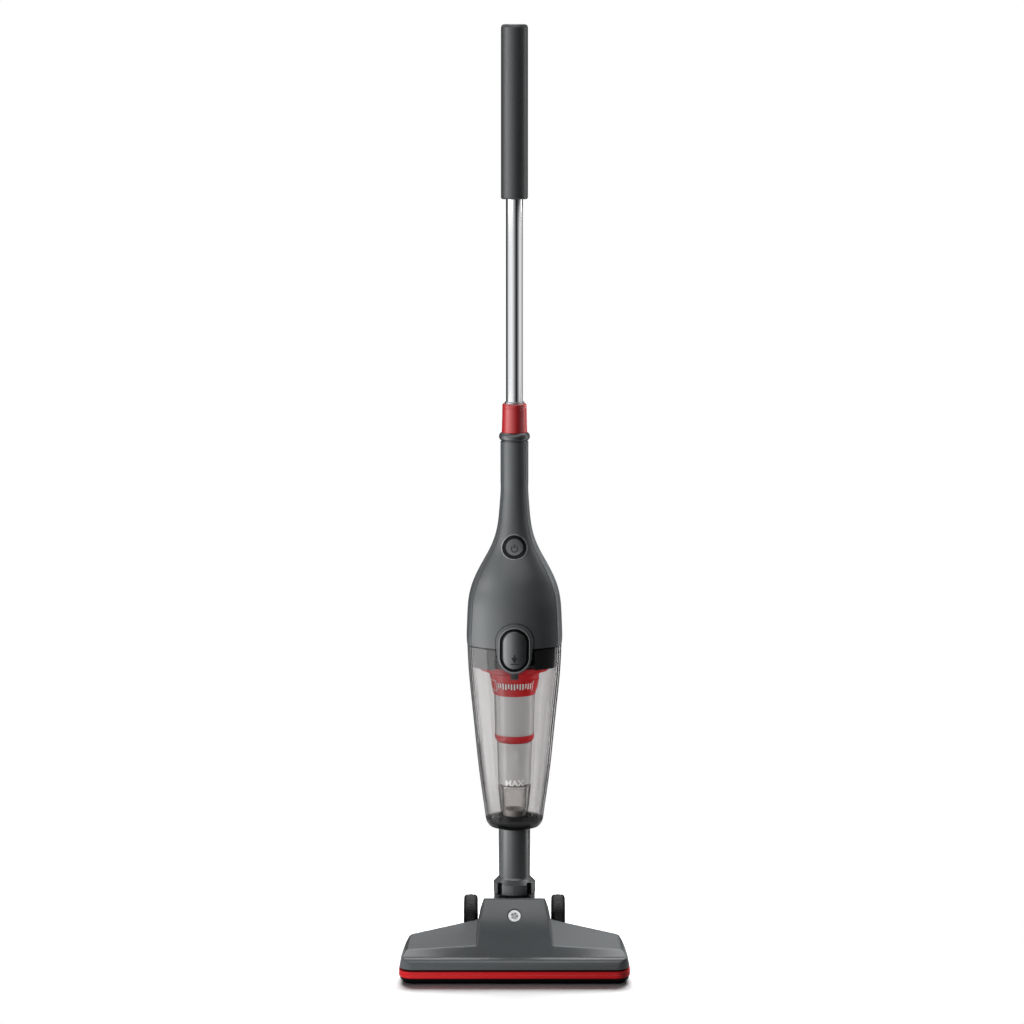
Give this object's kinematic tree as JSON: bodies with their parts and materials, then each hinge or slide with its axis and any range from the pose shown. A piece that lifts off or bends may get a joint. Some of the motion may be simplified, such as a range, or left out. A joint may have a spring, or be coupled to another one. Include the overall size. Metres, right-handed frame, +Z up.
{
  "type": "upright vacuum cleaner",
  "caption": "Upright stick vacuum cleaner: floor head on rear wheels, tilting and swivelling neck, clear dust bin with filter, motor housing with hand grip, chrome pole with foam grip.",
  "frame": {"origin": "on the floor, midway between the front of the bumper and the back of the wheels, below the axis of the upright tube", "axes": "+Z up along the tube, -Y towards the front of the floor head, +X to the right seen from the front"},
  "size_m": [0.268, 0.184, 1.1],
  "materials": {
    "housing_grey": "satin",
    "cover_grey": "satin",
    "grip_foam": "matte",
    "red_plastic": "satin",
    "red_bumper": "satin",
    "black_plastic": "satin",
    "black_rubber": "matte",
    "wheel_rubber": "satin",
    "clear_smoke": "gloss",
    "smoke_plastic": "gloss",
    "filter_white": "satin",
    "filter_paper": "matte",
    "chrome_steel": "polished",
    "badge_silver": "satin",
    "screw_steel": "satin",
    "spring_steel": "polished",
    "motor_steel": "satin",
    "lamination": "satin",
    "impeller_alloy": "satin",
    "carbon": "matte",
    "foam_black": "matte",
    "wire_jacket": "matte",
    "bristle": "matte",
    "lint_red": "matte"
  },
  "bodies": {
    "floor_head": {"head_base": "black_plastic", "head_cover": "cover_grey", "head_screws": "screw_steel", "head_bumper": "red_bumper", "glide_pads": "black_rubber", "bristle_strip": "bristle", "lint_strips": "lint_red", "suction_duct": "black_plastic", "head_badge": "badge_silver", "wheel_axles": "screw_steel"},
    "wheel_left": {"left_wheel_hub": "black_plastic", "left_wheel_tyre": "wheel_rubber"},
    "wheel_right": {"right_wheel_hub": "black_plastic", "right_wheel_tyre": "wheel_rubber"},
    "neck_elbow": {"pivot_elbow": "black_plastic", "neck_o_ring": "black_rubber"},
    "floor_neck": {"neck_tube": "housing_grey"},
    "dust_bin": {"bin_shell": "clear_smoke", "bin_base": "black_plastic", "inlet_duct": "smoke_plastic"},
    "flap": {"inlet_flap": "black_rubber"},
    "motor_unit": {"front_cover": "housing_grey", "rear_shell": "housing_grey", "housing_screws": "screw_steel", "intake_frame": "black_plastic", "intake_grille": "black_plastic", "release_bezel": "housing_grey", "release_well": "black_plastic", "power_bezel": "black_plastic", "switch_block": "black_plastic", "fan_shroud": "motor_steel", "lower_mount": "black_rubber", "motor_can": "motor_steel", "stator": "lamination", "bearings": "spring_steel", "carbon_brushes": "carbon", "upper_mount": "black_rubber", "exhaust_foam": "foam_black", "lead_wires": "wire_jacket", "cord_gland": "black_rubber", "pole_socket": "housing_grey"},
    "filter_unit": {"filter_cap": "red_plastic", "filter_seal": "black_rubber", "filter_sleeve": "filter_white", "filter_core": "filter_paper", "filter_ring": "red_plastic", "filter_cone": "filter_white"},
    "rotor": {"rotor_shaft": "lamination", "impeller": "impeller_alloy"},
    "power_key": {"power_button": "housing_grey", "power_spring": "spring_steel"},
    "release_key": {"release_button": "housing_grey", "release_spring": "spring_steel"},
    "pole": {"pole_collar": "red_plastic", "pole_ring": "screw_steel", "chrome_tube": "chrome_steel", "grip": "grip_foam"}
  },
  "joints": [
    {"name": "wheel_left_spin", "type": "hinge", "parent": "floor_head", "child": "wheel_left", "pos_m": [-0.0522, 0.058, 0.034], "axis": [-1, 0, 0], "continuous": true},
    {"name": "wheel_right_spin", "type": "hinge", "parent": "floor_head", "child": "wheel_right", "pos_m": [0.0522, 0.058, 0.034], "axis": [-1, 0, 0], "continuous": true},
    {"name": "neck_tilt", "type": "hinge", "parent": "floor_head", "child": "neck_elbow", "pos_m": [0, 0, 0.054], "axis": [-1, 0, 0], "range_deg": [0, 80]},
    {"name": "neck_swivel", "type": "hinge", "parent": "neck_elbow", "child": "floor_neck", "pos_m": [0, 0, 0.1], "axis": [0, 0, 1], "range_deg": [-40, 40]},
    {"name": "head_release", "type": "slide", "parent": "floor_neck", "child": "dust_bin", "axis": [0, 0, 1], "range_m": [0, 0.06]},
    {"name": "flap_swing", "type": "hinge", "parent": "dust_bin", "child": "flap", "pos_m": [0, 0.0138, 0.2162], "axis": [-1, 0, 0], "range_deg": [0, 55]},
    {"name": "bin_release", "type": "slide", "parent": "dust_bin", "child": "motor_unit", "axis": [0, 0, 1], "range_m": [0, 0.24]},
    {"name": "filter_release", "type": "slide", "parent": "motor_unit", "child": "filter_unit", "axis": [0, 0, -1], "range_m": [0, 0.036]},
    {"name": "fan_spin", "type": "hinge", "parent": "motor_unit", "child": "rotor", "pos_m": [0, 0, 0.42], "axis": [0, 0, 1], "continuous": true},
    {"name": "power_press", "type": "slide", "parent": "motor_unit", "child": "power_key", "axis": [0, 0.9272, -0.3746], "range_m": [0, 0.0025], "stiffness_N_per_m": 600, "springref_m": -0.002},
    {"name": "release_press", "type": "slide", "parent": "motor_unit", "child": "release_key", "axis": [0, 1, 0], "range_m": [0, 0.003], "stiffness_N_per_m": 700, "springref_m": -0.002},
    {"name": "pole_release", "type": "slide", "parent": "motor_unit", "child": "pole", "axis": [0, 0, 1], "range_m": [0, 0.06]}
  ],
  "couplings": [
    {"joint": "filter_release", "follows": "bin_release", "ratio": 0.15}
  ]
}
